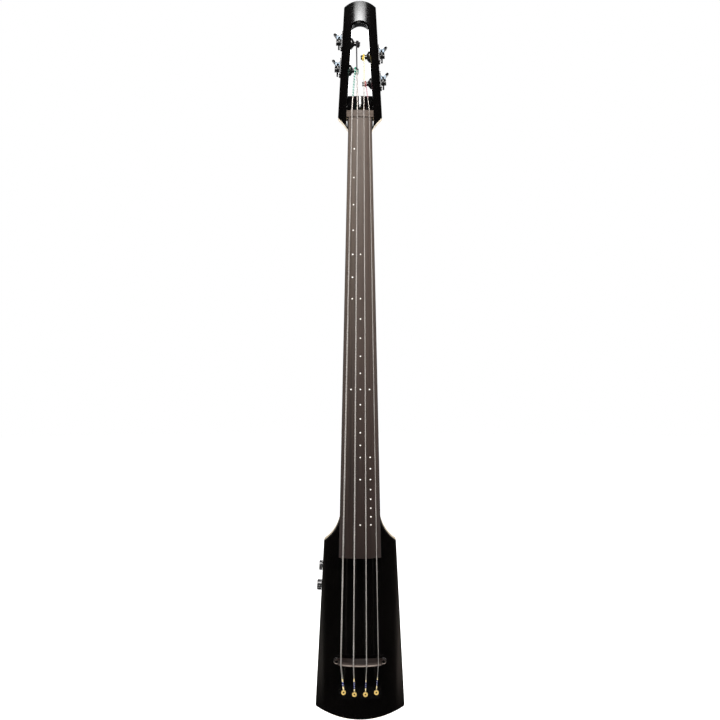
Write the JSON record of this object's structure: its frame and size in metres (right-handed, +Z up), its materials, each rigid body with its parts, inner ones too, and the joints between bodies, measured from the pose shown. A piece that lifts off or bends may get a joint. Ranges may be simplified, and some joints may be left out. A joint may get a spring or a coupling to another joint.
{
  "type": "electric upright double bass",
  "caption": "Slim solid-body electric upright double bass with an arched black front, slotted head, worm tuners and a height-adjusting bridge.",
  "frame": {"origin": "centre of the threaded stand socket's mouth, on the flat back of the body", "axes": "+Z runs up the neck to the head, +Y points out of the back, so the strings face -Y, and +X is to the right seen from the front"},
  "size_m": [0.1776, 0.0832, 1.4148],
  "materials": {
    "lacquered_maple": "black gloss lacquer on the front, satin maple on sides and back",
    "rosewood": "satin, open grain",
    "white_inlay": "polished flush",
    "ebony": "polished",
    "black_metal": "satin black",
    "chrome": "mirror",
    "steel": "brushed",
    "string_steel": "wound, polished",
    "brass": "polished",
    "black_plastic": "fine texture",
    "carbon_fibre": "satin",
    "sensor_ceramic": "glazed",
    "circuit_green": "solder mask",
    "wire_sleeve": "smooth"
  },
  "bodies": {
    "instrument": {"body": "lacquered_maple", "neck": "lacquered_maple", "fingerboard": "rosewood", "position_dots": "white_inlay", "nut": "ebony", "truss_rod": "steel", "carbon_bars": "carbon_fibre", "tail_anchor": "black_metal", "anchor_screws": "black_metal", "ball_ends": "brass", "bridge_studs": "black_metal", "stud_bushings": "brass", "stand_plate": "black_metal", "cavity_cover": "black_plastic", "jack_plate": "black_metal", "back_screws": "black_metal", "jack_socket": "steel", "volume_pot": "steel", "tone_pot": "steel", "pot_nuts": "steel", "circuit_board": "circuit_green", "wiring": "wire_sleeve", "tuner_plates": "black_metal", "tuner_saddles": "chrome", "post_bushings": "black_metal", "tuner_screws": "black_metal", "string_e": "string_steel", "string_a": "string_steel", "string_d": "string_steel", "string_g": "string_steel"},
    "bridge": {"bridge": "rosewood", "piezo_sensors": "sensor_ceramic"},
    "thumbwheel_left": {"thumbwheel_left": "steel"},
    "thumbwheel_right": {"thumbwheel_right": "steel"},
    "volume_knob": {"volume_knob": "black_metal", "volume_shaft": "steel"},
    "tone_knob": {"tone_knob": "black_metal", "tone_shaft": "steel"},
    "truss_nut": {"truss_nut": "steel"},
    "key_e": {"key_e": "black_metal", "worm_e": "steel"},
    "post_e": {"post_e": "black_metal", "worm_wheel_e": "black_metal", "post_cap_e": "black_metal"},
    "key_a": {"key_a": "black_metal", "worm_a": "steel"},
    "post_a": {"post_a": "black_metal", "worm_wheel_a": "black_metal", "post_cap_a": "black_metal"},
    "key_d": {"key_d": "black_metal", "worm_d": "steel"},
    "post_d": {"post_d": "black_metal", "worm_wheel_d": "black_metal", "post_cap_d": "black_metal"},
    "key_g": {"key_g": "black_metal", "worm_g": "steel"},
    "post_g": {"post_g": "black_metal", "worm_wheel_g": "black_metal", "post_cap_g": "black_metal"}
  },
  "joints": [
    {"name": "key_e_turn", "type": "hinge", "parent": "instrument", "child": "key_e", "pos_m": [-0.04357, -0.054, 1.12274], "axis": [0, 1, 0], "continuous": true},
    {"name": "post_e_turn", "type": "hinge", "parent": "instrument", "child": "post_e", "pos_m": [-0.03778, -0.054, 1.1066], "axis": [-0.9984, 0, 0.057], "continuous": true},
    {"name": "key_a_turn", "type": "hinge", "parent": "instrument", "child": "key_a", "pos_m": [-0.04056, -0.054, 1.17534], "axis": [0, 1, 0], "continuous": true},
    {"name": "post_a_turn", "type": "hinge", "parent": "instrument", "child": "post_a", "pos_m": [-0.03478, -0.054, 1.1592], "axis": [-0.9984, 0, 0.057], "continuous": true},
    {"name": "key_d_turn", "type": "hinge", "parent": "instrument", "child": "key_d", "pos_m": [0.04206, -0.054, 1.14914], "axis": [0, 1, 0], "continuous": true},
    {"name": "post_d_turn", "type": "hinge", "parent": "instrument", "child": "post_d", "pos_m": [0.03627, -0.054, 1.133], "axis": [0.9984, 0, 0.057], "continuous": true},
    {"name": "key_g_turn", "type": "hinge", "parent": "instrument", "child": "key_g", "pos_m": [0.04506, -0.054, 1.09664], "axis": [0, 1, 0], "continuous": true},
    {"name": "post_g_turn", "type": "hinge", "parent": "instrument", "child": "post_g", "pos_m": [0.03927, -0.054, 1.0805], "axis": [0.9984, 0, 0.057], "continuous": true},
    {"name": "bridge_height", "type": "slide", "parent": "instrument", "child": "bridge", "axis": [0, -1, 0], "range_m": [-0.003, 0]},
    {"name": "thumbwheel_left_turn", "type": "hinge", "parent": "bridge", "child": "thumbwheel_left", "pos_m": [-0.0466, -0.0522, -0.0582], "axis": [0, -1, 0], "range_deg": [-1080.5, 0.5]},
    {"name": "thumbwheel_right_turn", "type": "hinge", "parent": "bridge", "child": "thumbwheel_right", "pos_m": [0.0466, -0.0522, -0.0582], "axis": [0, -1, 0], "range_deg": [-1080.5, 0.5]},
    {"name": "volume_turn", "type": "hinge", "parent": "instrument", "child": "volume_knob", "pos_m": [-0.07444, -0.017, 0.1244], "axis": [-0.9987, 0, 0.0518], "range_deg": [-150, 150]},
    {"name": "tone_turn", "type": "hinge", "parent": "instrument", "child": "tone_knob", "pos_m": [-0.07645, -0.017, 0.0855], "axis": [-0.9987, 0, 0.0518], "range_deg": [-150, 150]},
    {"name": "truss_nut_turn", "type": "hinge", "parent": "instrument", "child": "truss_nut", "pos_m": [0, -0.05728, 1.0375], "axis": [0, -0.0104, 0.9999], "range_deg": [-360, 360]}
  ],
  "couplings": [
    {"joint": "post_e_turn", "follows": "key_e_turn", "ratio": 0.03125},
    {"joint": "post_a_turn", "follows": "key_a_turn", "ratio": 0.03125},
    {"joint": "post_d_turn", "follows": "key_d_turn", "ratio": 0.03125},
    {"joint": "post_g_turn", "follows": "key_g_turn", "ratio": 0.03125},
    {"joint": "thumbwheel_left_turn", "follows": "bridge_height", "rad_per_m": 6283.2},
    {"joint": "thumbwheel_right_turn", "follows": "bridge_height", "rad_per_m": 6283.2}
  ]
}
